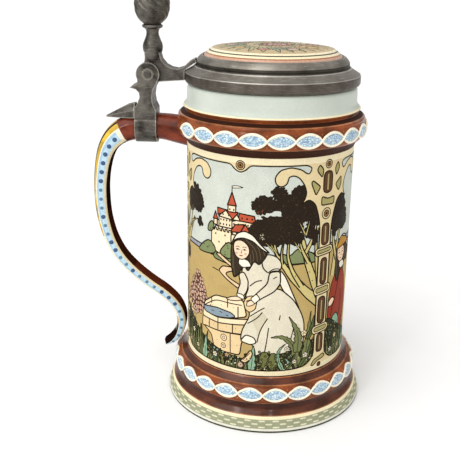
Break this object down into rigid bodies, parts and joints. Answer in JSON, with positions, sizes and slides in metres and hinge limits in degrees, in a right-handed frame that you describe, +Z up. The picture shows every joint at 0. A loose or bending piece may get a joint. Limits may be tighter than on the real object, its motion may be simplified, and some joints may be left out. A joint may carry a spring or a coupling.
{
  "type": "beer stein",
  "caption": "Cylindrical stoneware beer mug with a curved side handle, moulded bands and foot, and a hinged pewter lid with a ceramic inlay and a thumblift.",
  "frame": {"origin": "on the mug's axis, in the plane of its flat base", "axes": "+Z up along the mug's axis, -X towards the handle and hinge, +Y across, parallel to the hinge pin"},
  "size_m": [0.1396, 0.1026, 0.2124],
  "materials": {
    "stoneware_glaze": "glazed stoneware: matt etched picture, glossy brown, cream and pale blue bands",
    "handle_glaze": "glossy brown glaze with pale blue side stripes",
    "pewter": null,
    "steel_pin": "plain drawn wire",
    "inlay_glaze": "satin glazed stoneware with an etched ornament",
    "bedding_plaster": "matt plaster"
  },
  "bodies": {
    "mug": {"stoneware_body": "stoneware_glaze", "handle": "handle_glaze", "handle_strap": "pewter", "strap_tang": "pewter", "hinge_pin": "steel_pin", "pin_plug_front": "pewter", "pin_plug_rear": "pewter"},
    "lid": {"lid_ring": "pewter", "lid_inlay": "inlay_glaze", "inlay_bedding": "bedding_plaster", "lid_arm": "pewter", "thumblift_stem": "pewter", "thumblift_finial": "pewter"}
  },
  "joints": [
    {"name": "lid_hinge", "type": "hinge", "parent": "mug", "child": "lid", "pos_m": [-0.0593, 0, 0.166], "axis": [0, -1, 0], "range_deg": [0, 100]}
  ]
}
